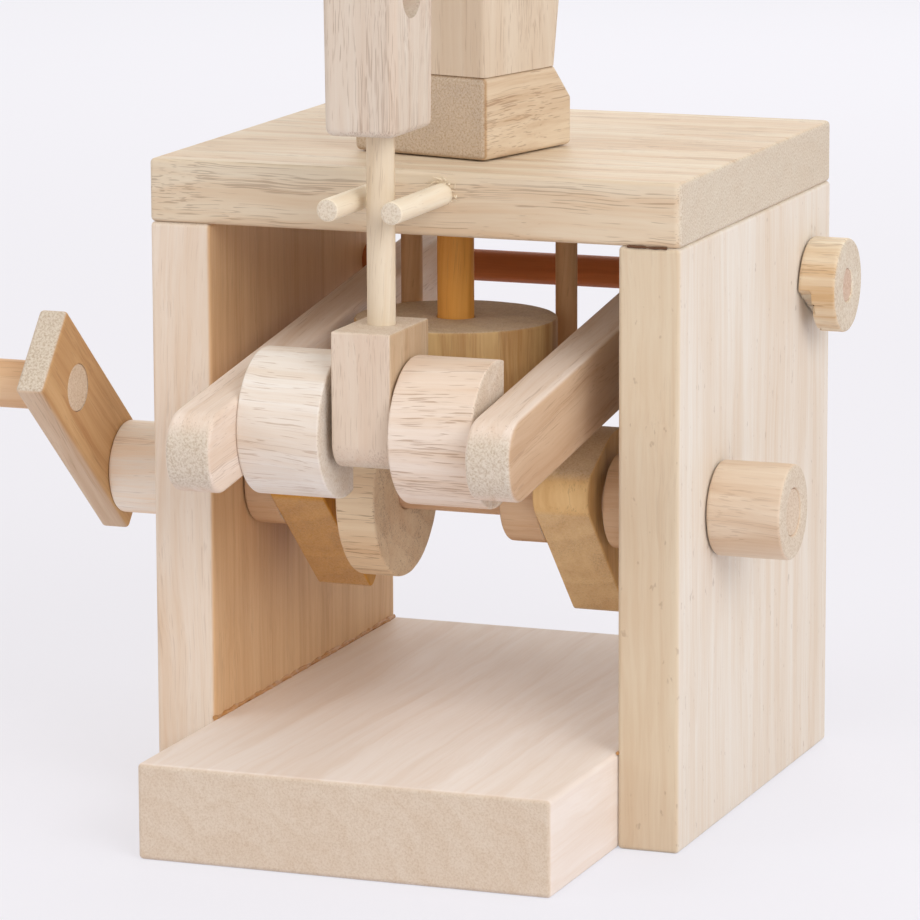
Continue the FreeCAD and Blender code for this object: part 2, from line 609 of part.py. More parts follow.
def lever(name, across, front, inner_face, into_wood):
    """Make a lever with a through hole for the rear rod and a socket for the front axle."""
    body = new_body(name)
    outline = new_sketch(body, "YZ_Plane")
    add_rectangle(outline, front, "lever_back", "lever_depth / 2", "lever_depth / 2")
    add_circle(outline, "rod_radius + glue_clearance", ROD_ALONG, "rod_lift")
    pad(body, outline, "lever_thickness")
    across_ends = is_along(ALONG_X)
    soften(body, "lever_tip_radius", lambda edge: across_ends(edge) and edge.BoundBox.YMax < 0)
    heel_level = SIZES["lever_back"] - 0.001
    soften(body, "lever_heel_radius", lambda edge: across_ends(edge) and edge.BoundBox.YMin > heel_level)
    rod_hole = SIZES["rod_radius"] + SIZES["glue_clearance"]
    soften(body, "board_edge", lambda edge: not across_ends(edge) and not is_round(rod_hole)(edge))
    socket = new_sketch(body, "YZ_Plane", inner_face)
    add_circle(socket, "front_axle_radius + glue_clearance")
    cut(body, socket, "axle_socket", along_normal=into_wood)
    turn(body, ALONG_X, LEVER_TILT)
    place(body, across, AXLE_Y, AXLE_Z)


lever("left_lever", "-lever_inner - lever_thickness", "left_lever_front", "lever_thickness", False)
lever("right_lever", "lever_inner", "right_lever_front", None, True)

# Rear rod that turns in the side boards, with a cap glued on each end
ROD_END = OUTER + " + side_clearance + rod_cap_length - end_recess"
rear_rod = round_stock("rear_rod", "x", "rod_radius", "2 * (" + ROD_END + ")")
place(rear_rod, "-(" + ROD_END + ")", ROD_Y, ROD_Z)
for name, across in (("left_rod_cap", "-" + OUTER + " - side_clearance - rod_cap_length"),
                     ("right_rod_cap", OUTER + " + side_clearance")):
    cap = round_stock(name, "x", "rod_cap_radius", "rod_cap_length", "rod_radius + glue_clearance",
                      "small_edge")
    place(cap, across, ROD_Y, ROD_Z)

# Front axle between the levers
front_axle = round_stock("front_axle", "x", "front_axle_radius", "2 * (lever_inner + axle_socket)")
place(front_axle, "-lever_inner - axle_socket", AXLE_Y, AXLE_Z)


def drum(name, across):
    """Make a drum on the front axle: round in front, cut flat behind the axle."""
    body = new_body(name)
    outline = new_sketch(body, "YZ_Plane")
    radius, flat = SIZES["drum_radius"], SIZES["drum_flat"]
    half = math.sqrt(radius ** 2 - flat ** 2)
    edge_angle = math.acos(flat / radius)
    circle = Part.Circle(FreeCAD.Vector(0, 0, 0), FreeCAD.Vector(0, 0, 1), radius)
    outline.addGeometry(Part.ArcOfCircle(circle, edge_angle, 2 * math.pi - edge_angle))
    outline.addGeometry(Part.LineSegment(FreeCAD.Vector(flat, -half, 0), FreeCAD.Vector(flat, half, 0)))
    outline.addConstraint(Sketcher.Constraint("Coincident", 0, 2, 1, 1))
    outline.addConstraint(Sketcher.Constraint("Coincident", 1, 2, 0, 1))
    outline.addConstraint(Sketcher.Constraint("Coincident", 0, 3, -1, 1))
    outline.addConstraint(Sketcher.Constraint("Vertical", 1))
    dimension(outline, Sketcher.Constraint("Radius", 0, radius), "drum_radius")
    dimension(outline, Sketcher.Constraint("DistanceX", -1, 1, 1, 1, flat), "drum_flat")
    add_circle(outline, "front_axle_radius + glue_clearance")
    pad(body, outline, "drum_length")
    bore = SIZES["front_axle_radius"] + SIZES["glue_clearance"]
    soften(body, "small_edge", lambda edge: not is_round(bore)(edge) and not is_along(ALONG_X)(edge))
    place(body, across, AXLE_Y, AXLE_Z)


drum("left_drum", "-lever_inner")
drum("right_drum", "lever_inner - drum_gap - drum_length")

# Swivel block that stays upright on the front axle
swivel_block = new_body("swivel_block")
outline = new_sketch(swivel_block, "YZ_Plane")
add_rectangle(outline, "block_front", "block_back", "block_drop", "block_rise")
add_circle(outline, "front_axle_radius + running_clearance")
pad(swivel_block, outline, "block_width")
soften(swivel_block, "block_round", lambda edge: is_along(ALONG_X)(edge) and edge.BoundBox.ZMax < 0)
axle_hole = SIZES["front_axle_radius"] + SIZES["running_clearance"]
soften(swivel_block, "small_edge", lambda edge: not is_round(axle_hole)(edge) and not (
    is_along(ALONG_X)(edge) and edge.BoundBox.ZMax < SIZES["block_rise"] - 0.001))
socket = new_sketch(swivel_block, "XY_Plane", "block_rise")
add_circle(socket, "push_radius + glue_clearance", "block_width / 2")
cut(swivel_block, socket, "push_socket")
place(swivel_block, "-block_width / 2", AXLE_Y, AXLE_Z)
push_rod = round_stock("push_rod", "z", "push_radius",
                       LIFTED_Z + " - " + AXLE_Z + " - block_rise + 2 * push_socket")
place(push_rod, "0", AXLE_Y, AXLE_Z + " + block_rise - push_socket")

# Lifted block, a little wider at its top, with a slot through it
lifted_block = new_body("lifted_block")
outline = new_sketch(lifted_block, "XZ_Plane", "-lifted_back")
add_polygon(outline,
            [(-1, 0), (1, 0), (2, 1), (-2, 1)],
            [("lifted_width / 2", None), ("lifted_width / 2", None),
             ("(lifted_width + lifted_flare) / 2", "lifted_height"),
             ("(lifted_width + lifted_flare) / 2", "lifted_height")])
pad(lifted_block, outline, "lifted_front + lifted_back")
crown_level = SIZES["lifted_height"] - 0.001
is_across = is_along(ALONG_X)
soften(lifted_block, "crown_radius", lambda edge: is_across(edge) and edge.BoundBox.ZMin > crown_level)
soften(lifted_block, "lifted_edge", is_straight)
slot = new_sketch(lifted_block, "YZ_Plane", "-lifted_width")
radius, shift = SIZES["slot_radius"], SIZES["slot_shift"]
low, high = SIZES["slot_low"], SIZES["slot_high"]
for level, start in ((low, math.pi), (high, 0)):
    circle = Part.Circle(FreeCAD.Vector(-shift, level, 0), FreeCAD.Vector(0, 0, 1), radius)
    slot.addGeometry(Part.ArcOfCircle(circle, start, start + math.pi))
for side in (-1, 1):
    start_point = FreeCAD.Vector(side * radius - shift, low, 0)
    end_point = FreeCAD.Vector(side * radius - shift, high, 0)
    slot.addGeometry(Part.LineSegment(start_point, end_point))
slot.addConstraint(Sketcher.Constraint("Tangent", 0, 1, 2, 1))
slot.addConstraint(Sketcher.Constraint("Tangent", 0, 2, 3, 1))
slot.addConstraint(Sketcher.Constraint("Tangent", 1, 1, 3, 2))
slot.addConstraint(Sketcher.Constraint("Tangent", 1, 2, 2, 2))
slot.addConstraint(Sketcher.Constraint("Vertical", 2))
dimension(slot, Sketcher.Constraint("Radius", 0, radius), "slot_radius")
dimension(slot, Sketcher.Constraint("DistanceX", 0, 3, -1, 1, shift), "slot_shift")
dimension(slot, Sketcher.Constraint("DistanceY", -1, 1, 0, 3, low), "slot_low")
dimension(slot, Sketcher.Constraint("DistanceY", -1, 1, 1, 3, high), "slot_high")
cut(lifted_block, slot, "3 * lifted_width", along_normal=True)
socket = new_sketch(lifted_block, "XY_Plane")
add_circle(socket, "push_radius + glue_clearance")
cut(lifted_block, socket, "push_socket", along_normal=True)
place(lifted_block, "0", AXLE_Y, LIFTED_Z)

# Check every piece, then write one file for each
document.recompute()
for item in document.Objects:
    if "Invalid" in item.State or "Error" in item.State:
        raise ValueError(item.Label + " failed: " + str(item.State))
pieces = [item for item in document.Objects if item.TypeId == "PartDesign::Body"]
os.makedirs("parts", exist_ok=True)
for piece in pieces:
    if piece.Shape.isNull() or not piece.Shape.isValid() or len(piece.Shape.Solids) != 1:
        raise ValueError(piece.Label + " is not one valid solid")
for piece in pieces:
    piece.Shape.exportStep("parts/" + piece.Label + ".step")
print(len(pieces), "pieces written")
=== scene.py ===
# %% [markdown]
# # A wooden crank automaton, dressed for the camera
# The construction is fixed already: every board, dowel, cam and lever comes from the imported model,
# in metres, in one shared frame. This lesson gives each piece its wood, rounds and wears what the
# plain solids leave sharp, and sets up the light and the camera of the photograph.

# %% Load the frame
import json
import math

import bmesh
import bpy
from mathutils import Matrix, Vector


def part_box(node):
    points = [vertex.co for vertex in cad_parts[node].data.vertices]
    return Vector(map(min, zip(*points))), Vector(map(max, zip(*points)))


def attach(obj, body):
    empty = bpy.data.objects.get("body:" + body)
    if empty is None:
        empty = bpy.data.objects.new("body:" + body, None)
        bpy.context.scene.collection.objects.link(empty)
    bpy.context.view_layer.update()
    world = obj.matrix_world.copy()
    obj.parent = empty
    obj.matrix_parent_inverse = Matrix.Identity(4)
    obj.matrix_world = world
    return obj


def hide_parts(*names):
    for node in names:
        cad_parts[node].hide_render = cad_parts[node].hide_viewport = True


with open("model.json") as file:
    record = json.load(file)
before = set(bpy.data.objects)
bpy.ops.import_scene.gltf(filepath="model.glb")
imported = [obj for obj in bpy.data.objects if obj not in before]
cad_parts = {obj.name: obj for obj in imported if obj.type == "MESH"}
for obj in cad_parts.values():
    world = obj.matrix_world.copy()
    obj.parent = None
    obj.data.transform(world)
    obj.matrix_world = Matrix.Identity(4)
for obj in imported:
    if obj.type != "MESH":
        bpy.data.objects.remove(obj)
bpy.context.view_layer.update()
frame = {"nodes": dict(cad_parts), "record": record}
MM = 0.001

# %% [markdown]
# ## Camera
# The photograph is a close product shot from a little to the right and a little above, taken with a
# long lens, so the box's edges stay nearly parallel. A camera is fully given by where it looks, from
# which direction, how far away it stands and its lens; building its matrix from those four keeps
# every number readable. The roll of a fifth of a degree is how the camera was held.

# %% Camera
AZIMUTH = math.radians(20.61)
ELEVATION = math.radians(11.02)
ROLL = math.radians(-0.22)
AIM = Vector((-7.0, 14.8, 72.1)) * MM
DISTANCE = 1197.3 * MM
LENS = 211.3

back = Vector((math.sin(AZIMUTH) * math.cos(ELEVATION),
               -math.cos(AZIMUTH) * math.cos(ELEVATION),
               math.sin(ELEVATION)))
level = Vector((math.cos(AZIMUTH), math.sin(AZIMUTH), 0))
upright = back.cross(level)
right = level * math.cos(ROLL) + upright * math.sin(ROLL)
up = upright * math.cos(ROLL) - level * math.sin(ROLL)

camera = bpy.data.objects.new("camera", bpy.data.cameras.new("camera"))
bpy.context.scene.collection.objects.link(camera)
camera_turn = Matrix((right, up, back)).transposed().to_4x4()
camera.matrix_world = Matrix.Translation(AIM + back * DISTANCE) @ camera_turn
camera.data.lens = LENS
camera.data.clip_start = 0.05
camera.data.clip_end = 50
bpy.context.scene.camera = camera
print("camera at", [round(c, 3) for c in camera.location], "lens", LENS)

# %% [markdown]
# ## Small helpers
# Colours are picked as sRGB hex values, the way a paint program shows them, but shaders calculate
# in linear light, so one function converts them. Another adds a node, sets it up and links it in a
# single call, which keeps the node trees below short enough to read. A node has hidden inputs for
# modes that it isn't in, so the function counts only those that are switched on.

# %% Helpers for colours and nodes
def linear(hex_colour):
    """Turn an sRGB hex colour into linear light with full alpha."""
    channels = [int(hex_colour[place:place + 2], 16) / 255 for place in (1, 3, 5)]
    return tuple(c / 12.92 if c <= 0.04045 else ((c + 0.055) / 1.055) ** 2.4 for c in channels) + (1.0,)


def add_node(tree, kind, *values, **named):
    """Add a node: values fill its inputs in order, a capitalised name is an input, another a setting.

    A node or a socket given as a value is linked, and of a node its first output.
    """
    node = tree.nodes.new(kind)
    for name, value in named.items():
        if name[0].islower():
            setattr(node, name, value)
    inputs = [socket for socket in node.inputs if socket.enabled]
    by_name = {socket.name.replace(" ", "_"): socket for socket in inputs}
    wanted = list(zip(inputs, values))
    wanted += [(by_name[name], value) for name, value in named.items() if name[0].isupper()]
    for socket, value in wanted:
        if isinstance(value, bpy.types.Node):
            value = [output for output in value.outputs if output.enabled][0]
        if isinstance(value, bpy.types.NodeSocket):
            tree.links.new(value, socket)
        else:
            socket.default_value = value
    return node


MATH, VECTOR, MIX = "ShaderNodeMath", "ShaderNodeVectorMath", "ShaderNodeMix"
NOISE, RANGE = "ShaderNodeTexNoise", "ShaderNodeMapRange"
HALF = (0.5, 0.5, 0.5)
print("mid grey in linear light:", round(linear("#808080")[0], 4))

# %% [markdown]
# ## Floor, backdrop and light
# The toy stands in a white light tent: the floor runs into the background without a line, and the
# shadows are hardly there. A plane with a pale matt colour catches what shadow there is. For rays
# that come straight from the camera, part of the floor glows with the backdrop's own colour, so it
# ends up near white without any more lamp light on the wood. Away from the toy, out of the lamps'
# reach, the glow takes over, so the floor has no visible end.

# %% Floor and world
BACKDROP, PAPER, TENT = linear("#f6f5fa"), linear("#eceefa"), linear("#fff3e6")
TENT_STRENGTH = 0.58
FLOOR_HALF = 9.0
# Share of the floor that glows near the toy, and between which distances in m it grows to all of it
FLOOR_GLOW = 0.6
GLOW_GROWS = (0.6, 2.5)

floor_mesh = bpy.data.meshes.new("floor")
corners = [(-FLOOR_HALF, -FLOOR_HALF, 0), (FLOOR_HALF, -FLOOR_HALF, 0),
           (FLOOR_HALF, FLOOR_HALF, 0), (-FLOOR_HALF, FLOOR_HALF, 0)]
floor_mesh.from_pydata(corners, [], [(0, 1, 2, 3)])
floor = bpy.data.objects.new("floor", floor_mesh)
bpy.context.scene.collection.objects.link(floor)

paper = bpy.data.materials.new("matt_backdrop_paper")
world = bpy.data.worlds.new("light_tent")
for owner in (paper, world):
    owner.use_nodes = True
    tree = owner.node_tree
    tree.nodes.clear()
    rays = add_node(tree, "ShaderNodeLightPath")
    seen = add_node(tree, MATH, rays.outputs["Is Camera Ray"], rays.outputs["Is Glossy Ray"],
                    use_clamp=True)
    seen = add_node(tree, MATH, seen, rays.outputs["Is Transmission Ray"], use_clamp=True)
    if owner is paper:
        away = add_node(tree, "ShaderNodeTexCoord").outputs["Object"]
        away = add_node(tree, VECTOR, away, operation="LENGTH").outputs["Value"]
        share = add_node(tree, RANGE, away, *GLOW_GROWS, FLOOR_GLOW, 1.0)
        share = add_node(tree, MATH, seen, share, operation="MULTIPLY")
        matt = add_node(tree, "ShaderNodeBsdfDiffuse", Color=PAPER)
        glow = add_node(tree, "ShaderNodeEmission", Color=BACKDROP, Strength=1.0)
        both = add_node(tree, "ShaderNodeMixShader", share, matt, glow)
        add_node(tree, "ShaderNodeOutputMaterial", Surface=both)
    else:
        tent = add_node(tree, "ShaderNodeBackground", Color=TENT, Strength=TENT_STRENGTH)
        wall = add_node(tree, "ShaderNodeBackground", Color=BACKDROP, Strength=1.0)
        both = add_node(tree, "ShaderNodeMixShader", seen, tent, wall)
        add_node(tree, "ShaderNodeOutputWorld", Surface=both)
floor_mesh.materials.append(paper)
bpy.context.scene.world = world
bpy.context.scene.view_settings.view_transform = "Standard"
print("floor and backdrop:", paper.name, world.name)

# %% [markdown]
# The strongest soft box hangs at the front right. Four weaker ones and the tent's own light, a little
# warm, fill the shadows, which are hardly there in the photograph. A soft box is an area lamp: the
# larger it is, the softer the edges of its shadows.

# %% Lamps
LAMPS_AIM = Vector((0, 0, 0.08))


def soft_box(name, place, width, power):
    """Hang a square white soft box of a width in m and a power in W, facing the middle of the toy."""
    lamp = bpy.data.lights.new(name, "AREA")
    lamp.shape = "SQUARE"
    lamp.size = width
    lamp.energy = power
    hung = bpy.data.objects.new(name, lamp)
    bpy.context.scene.collection.objects.link(hung)
    facing = (LAMPS_AIM - Vector(place)).to_track_quat("-Z", "Y").to_matrix().to_4x4()
    hung.matrix_world = Matrix.Translation(place) @ facing


soft_box("front_right_box", (1.3, -1.1, 1.0), 1.0, 13.4)
soft_box("front_left_box", (-1.3, -1.2, 0.9), 1.0, 5.2)
soft_box("right_box", (1.6, -0.1, 0.9), 1.0, 3.5)
soft_box("back_box", (-0.3, 1.5, 0.8), 1.0, 5.2)
soft_box("top_box", (0.0, -0.1, 1.6), 1.2, 3.4)

# %% [markdown]
# ## The wood
# Every piece is the same pale plantation hardwood, sanded and left bare. Three things make it look
# like wood. Growth rings run round the tree's pith and show as slanting or wavy bands. Fibres run
# along the trunk and show as soft streaks. And the wood is open pored: thin tubes that show as dark
# hair lines and dashes on a long face and as dots on a cut end.
# All three live in space, not on a surface, so one solid pattern gives the right look on every face
# of a board by itself. The pattern is made once, as a node group in millimetres whose X axis runs
# along the trunk, and each piece only says how it was sawn from the tree. The thinnest pores are
# a tenth of a millimetre wide on the real wood; here they are two to three times that, as finer ones
# would not show in the picture.

# %% A node group for open-pored hardwood
HARDWOOD = bpy.data.node_groups.new("open_pored_hardwood", "ShaderNodeTree")
for name, kind, value in (
        ("Place", "NodeSocketVector", (0, 0, 0)),
        ("Cut end", "NodeSocketFloat", 0.0),
        ("Sapwood", "NodeSocketColor", linear("#eadccb")),
        ("Heartwood", "NodeSocketColor", linear("#cfa67c")),
        ("Pore", "NodeSocketColor", linear("#8f6341")),
        ("Ring width", "NodeSocketFloat", 6.0),
        ("Rings", "NodeSocketFloat", 0.16),
        ("Streaks", "NodeSocketFloat", 0.5),
        ("Hair pores", "NodeSocketFloat", 0.35),
        ("Dashes", "NodeSocketFloat", 0.25),
        ("Specks", "NodeSocketFloat", 0.5),
        ("Marks", "NodeSocketFloat", 0.0)):
    HARDWOOD.interface.new_socket(name, in_out="INPUT", socket_type=kind).default_value = value
for name, kind in (("Colour", "NodeSocketColor"), ("Roughness", "NodeSocketFloat"),
                   ("Height", "NodeSocketFloat")):
    HARDWOOD.interface.new_socket(name, in_out="OUTPUT", socket_type=kind)
tree = HARDWOOD
given = add_node(tree, "NodeGroupInput").outputs

# The trunk isn't straight: it has slow bends and small ripples, of these sizes and reaches in mm
BENDS = (((90, 24, 24), (0, 9, 9)), ((14, 6, 6), (0, 1.2, 1.2)))
bent = given["Place"]
for size, reach in BENDS:
    sway = add_node(tree, VECTOR, given["Place"], size, operation="DIVIDE")
    sway = add_node(tree, NOISE, sway, Scale=1.0, Detail=1.0).outputs["Color"]
    sway = add_node(tree, VECTOR, sway, HALF, operation="SUBTRACT")
    sway = add_node(tree, VECTOR, sway, reach, operation="MULTIPLY")
    bent = add_node(tree, VECTOR, bent, sway, operation="ADD")
print("inputs of the wood pattern:", len(given) - 1)

# %% [markdown]
# A growth ring fades in through the summer and ends at a line in autumn. The distance from the pith,
# counted in ring widths, gives the season as its fraction; a slow noise on top makes some years wide
# and others narrow.

# %% Growth rings, streaks and fibres
# Years differ in width, in patches of this size in mm and by up to so many rings
YEARS_SIZE, YEARS_STRAY = (200, 10, 10), 1.8
# Share of a year at which its ring is darkest
LAST_SUMMER = 0.86
radius = add_node(tree, VECTOR, bent, (0, 1, 1), operation="MULTIPLY")
radius = add_node(tree, VECTOR, radius, operation="LENGTH").outputs["Value"]
years = add_node(tree, VECTOR, bent, YEARS_SIZE, operation="DIVIDE")
years = add_node(tree, NOISE, years, Scale=1.0, Detail=1.0)
years = add_node(tree, MATH, years, YEARS_STRAY, operation="MULTIPLY")
season = add_node(tree, MATH, radius, given["Ring width"], operation="DIVIDE")
season = add_node(tree, MATH, season, years, operation="ADD")
season = add_node(tree, MATH, season, operation="FRACT")
summer = add_node(tree, RANGE, season, 0.1, LAST_SUMMER, 0.0, 1.0, interpolation_type="SMOOTHSTEP")
autumn = add_node(tree, RANGE, season, LAST_SUMMER, 1.0, 1.0, 0.0, interpolation_type="SMOOTHSTEP")
ring = add_node(tree, MATH, summer, autumn, operation="MULTIPLY")
ring = add_node(tree, MATH, ring, given["Rings"], operation="MULTIPLY")

# Length and width in mm, detail of the noise, its range that counts, and share of all streaks
STREAK_SIZES = ((130, 7.0, 3.0, 0.32, 0.72, 0.40), (60, 1.7, 2.0, 0.35, 0.70, 0.28),
                (60, 32.0, 2.0, 0.30, 0.75, 0.30))
FIBRE_SIZE = (22, 0.5, 3.0, 0.30, 0.75, 0.20)
streaks = None
for along, wide, detail, low, high, share in (*STREAK_SIZES, FIBRE_SIZE):
    streak = add_node(tree, VECTOR, bent, (along, wide, wide), operation="DIVIDE")
    streak = add_node(tree, NOISE, streak, Scale=1.0, Detail=detail)
    streak = add_node(tree, RANGE, streak, low, high, 0.0, share, interpolation_type="SMOOTHSTEP")
    streaks = add_node(tree, MATH, streak, streaks, operation="ADD") if streaks else streak
fibre = streak
streaks = add_node(tree, MATH, streaks, given["Streaks"], operation="MULTIPLY")
warm = add_node(tree, MATH, streaks, ring, operation="ADD", use_clamp=True)
colour = add_node(tree, MIX, warm, given["Sapwood"], given["Heartwood"], data_type="RGBA")
print("nodes so far:", len(tree.nodes))

# %% [markdown]
# Pores are not spread evenly: they crowd in some places, and along the end of each growth ring. So
# the noise that draws them is lifted by a slower noise and by the season before only its highest
# crests are kept. What stays of a crest that is stretched along the trunk is a thin dash with
# tapered ends.

# %% Pores, cut ends and what the group gives back
CROWD_SIZE = (40, 6, 6)
crowd = add_node(tree, VECTOR, bent, CROWD_SIZE, operation="DIVIDE")
crowd = add_node(tree, NOISE, crowd, Scale=1.0, Detail=1.0)
crowd = add_node(tree, RANGE, crowd, 0.3, 0.7, -0.10, 0.06)
late = add_node(tree, RANGE, season, 0.6, 0.95, -0.01, 0.05, interpolation_type="SMOOTHSTEP")
crowd = add_node(tree, MATH, crowd, late, operation="ADD")
# Length and width in mm, height of the noise at which a pore starts and is full, and its amount
PORE_SIZES = ((20.0, 0.27, 0.64, 0.74, "Hair pores"), (8.0, 0.34, 0.66, 0.74, "Dashes"))
MORE_PORES, BOLDEST_PORE = 0.1, 0.7
pores = None
for along, wide, start, full, amount in PORE_SIZES:
    dash = add_node(tree, VECTOR, bent, (along, wide, wide), operation="DIVIDE")
    dash = add_node(tree, NOISE, dash, Scale=1.0, Detail=1.0, Roughness=0.4)
    dash = add_node(tree, MATH, dash, crowd, operation="ADD")
    more = add_node(tree, MATH, given[amount], MORE_PORES, operation="MULTIPLY")
    dash = add_node(tree, MATH, dash, more, operation="ADD")
    dash = add_node(tree, RANGE, dash, start, full, 0.0, 1.0, interpolation_type="SMOOTHSTEP")
    bold = add_node(tree, RANGE, given[amount], 0.0, 1.0, 0.0, BOLDEST_PORE)
    dash = add_node(tree, MATH, dash, bold, operation="MULTIPLY")
    pores = add_node(tree, MATH, dash, pores, operation="MAXIMUM") if pores else dash
colour = add_node(tree, MIX, pores, colour, given["Pore"], data_type="RGBA")

# A cut end is dusty and shows every tube as a dot: specks of about half a millimetre
SPECK_SIZE, DUST, DOTS = (0.8, 0.45, 0.45), linear("#ddd4c6"), linear("#bba992")
speck = add_node(tree, VECTOR, given["Place"], SPECK_SIZE, operation="DIVIDE")
speck = add_node(tree, NOISE, speck, Scale=1.0, Detail=2.0, Roughness=0.7)
speck = add_node(tree, RANGE, speck, 0.36, 0.74, 0.0, 1.0, interpolation_type="SMOOTHSTEP")
dusty = add_node(tree, MIX, speck, DUST, DOTS, data_type="RGBA")
end = add_node(tree, MATH, given["Cut end"], given["Specks"], operation="MULTIPLY")
colour = add_node(tree, MIX, end, colour, dusty, data_type="RGBA")

# A few small brown marks, each up to 3 mm long
MARK_SIZE, MARK_BROWN = (3.2, 1.5, 1.5), linear("#7a4f30")
mark = add_node(tree, VECTOR, bent, MARK_SIZE, operation="DIVIDE")
mark = add_node(tree, NOISE, mark, Scale=1.0, Detail=2.0, Roughness=0.6)
mark = add_node(tree, RANGE, mark, 0.66, 0.74, 0.0, 1.0, interpolation_type="SMOOTHSTEP")
mark = add_node(tree, MATH, mark, given["Marks"], operation="MULTIPLY")
colour = add_node(tree, MIX, mark, colour, MARK_BROWN, data_type="RGBA")

# Sanded bare wood is matt, and a cut end more so; fibres stand up, pores and specks go down
SANDED, FIBRE_ROUGHER, CUT_END_ROUGHER, FIBRE_HEIGHT = 0.56, 0.5, 0.15, 1.2
rough = add_node(tree, MATH, fibre, FIBRE_ROUGHER, SANDED, operation="MULTIPLY_ADD")
rough = add_node(tree, MATH, given["Cut end"], CUT_END_ROUGHER, rough, operation="MULTIPLY_ADD")
height = add_node(tree, MATH, fibre, FIBRE_HEIGHT, operation="MULTIPLY")
height = add_node(tree, MATH, height, pores, operation="SUBTRACT")
pit = add_node(tree, MATH, speck, end, operation="MULTIPLY")
height = add_node(tree, MATH, height, pit, operation="SUBTRACT")
add_node(tree, "NodeGroupOutput", colour, rough, height)
print("nodes in the wood pattern:", len(tree.nodes))

# %% [markdown]
# ## Sawing each piece from the tree
# A piece's look depends on three choices: which way its grain runs, how far it was sawn from the
# pith and its own tone. A Mapping node turns the piece's coordinates so that its grain lies along X
# and moves the pith to its place, measured from the middle of the piece. The dot product of the
# face's normal with the grain tells a cut end from a long face, so no face has to be painted by hand.

# %% A function that saws and tints a piece
RELIEF = 0.25 * MM


def wood(name, grain, pith, sapwood, heartwood, pore="#80583a", heart_side=None, bump=0.3, **amounts):
    """Make the wood of one piece: grain direction, pith in mm from its middle, colours and amounts.

    The shaded side is a direction and two darker tones for faces turned that way: painted shade.
    """
    material = bpy.data.materials.new("bare_hardwood_" + name)
    material.use_nodes = True
    tree = material.node_tree
    tree.nodes.clear()
    low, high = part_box(name)
    grain = Vector(grain).normalized()
    turned = grain.rotation_difference(Vector((1, 0, 0)))
    moved = turned @ ((Vector(low) + Vector(high)) / 2 / MM + Vector(pith))
    where = add_node(tree, "ShaderNodeTexCoord")
    place = add_node(tree, "ShaderNodeMapping", Vector=where.outputs["Object"], Location=-moved,
                     Rotation=turned.to_euler(), Scale=(1 / MM, 1 / MM, 1 / MM))
    facing = add_node(tree, VECTOR, where.outputs["Normal"], grain, operation="DOT_PRODUCT")
    facing = add_node(tree, MATH, facing, operation="ABSOLUTE")
    cut_end = add_node(tree, RANGE, facing, 0.5, 0.92, 0.0, 1.0, interpolation_type="SMOOTHSTEP")
    tones = [linear(sapwood), linear(heartwood)]
    # Painted shade: faces turned the given way get darker, warmer tones, for faces that lie in shade.
    if heart_side:
        shade_mask = add_node(tree, VECTOR, where.outputs["Normal"], heart_side[0],
                         operation="DOT_PRODUCT")
        shade_mask = add_node(tree, RANGE, shade_mask, 0.3, 0.9, 0.0, 1.0, interpolation_type="SMOOTHSTEP")
        tones = [add_node(tree, MIX, shade_mask, tone, linear(shaded_tone), data_type="RGBA")
                 for tone, shaded_tone in zip(tones, heart_side[1:])]
    pattern = add_node(tree, "ShaderNodeGroup", node_tree=HARDWOOD, Place=place, Cut_end=cut_end,
                       Sapwood=tones[0], Heartwood=tones[1], Pore=linear(pore), **amounts)
    relief = add_node(tree, "ShaderNodeBump", Strength=bump, Distance=RELIEF,
                      Height=pattern.outputs["Height"])
    surface = add_node(tree, "ShaderNodeBsdfPrincipled", Base_Color=pattern, Normal=relief,
                       Roughness=pattern.outputs["Roughness"], IOR=1.5, Specular_IOR_Level=0.35)
    add_node(tree, "ShaderNodeOutputMaterial", Surface=surface)
    return material


# %% [markdown]
# The table says how each piece was sawn. Boards have their grain along their length, dowels and
# turned pieces along their axis, and the arm, the levers and the shoe along their own slant. The
# tones were matched to the photograph, which shows wood of several planks, such as creamy drums.
# The deep amber of the cams, the disc and the shaft and the red of the rear rod are partly their wood
# and partly painted shade: these pieces lie in shade inside the box, and their tones are darker and
# more saturated to stand in for it. A face that lies in shade, such as the left panel's inner face or
# the right lever's outer side, gets darker, warmer tones of its own, which are painted shade as well.

# %% How each piece was sawn
ALONG_X, ALONG_Y, ALONG_Z = (1, 0, 0), (0, 1, 0), (0, 0, 1)
FRONT_FACE = (0, -1, 0)
ARM_ANGLE = math.radians(41.0)
LEVER_TILT = math.radians(7.8)
SHOE_TURN = math.radians(14.1)
ALONG_ARM = (0, -math.cos(ARM_ANGLE), math.sin(ARM_ANGLE))
ALONG_LEVER = (0, math.cos(LEVER_TILT), math.sin(LEVER_TILT))
ALONG_SHOE = (math.sin(SHOE_TURN), math.cos(SHOE_TURN), 0)
TURNED = dict(Dashes=0.25, Hair_pores=0.3, Streaks=0.6, Specks=0.7)
ROD_CAP = dict(Dashes=0.5, Streaks=0.9, Specks=0.8)
DOWEL = dict(Dashes=0.0, Hair_pores=0.3, Streaks=0.6, Specks=0.7)
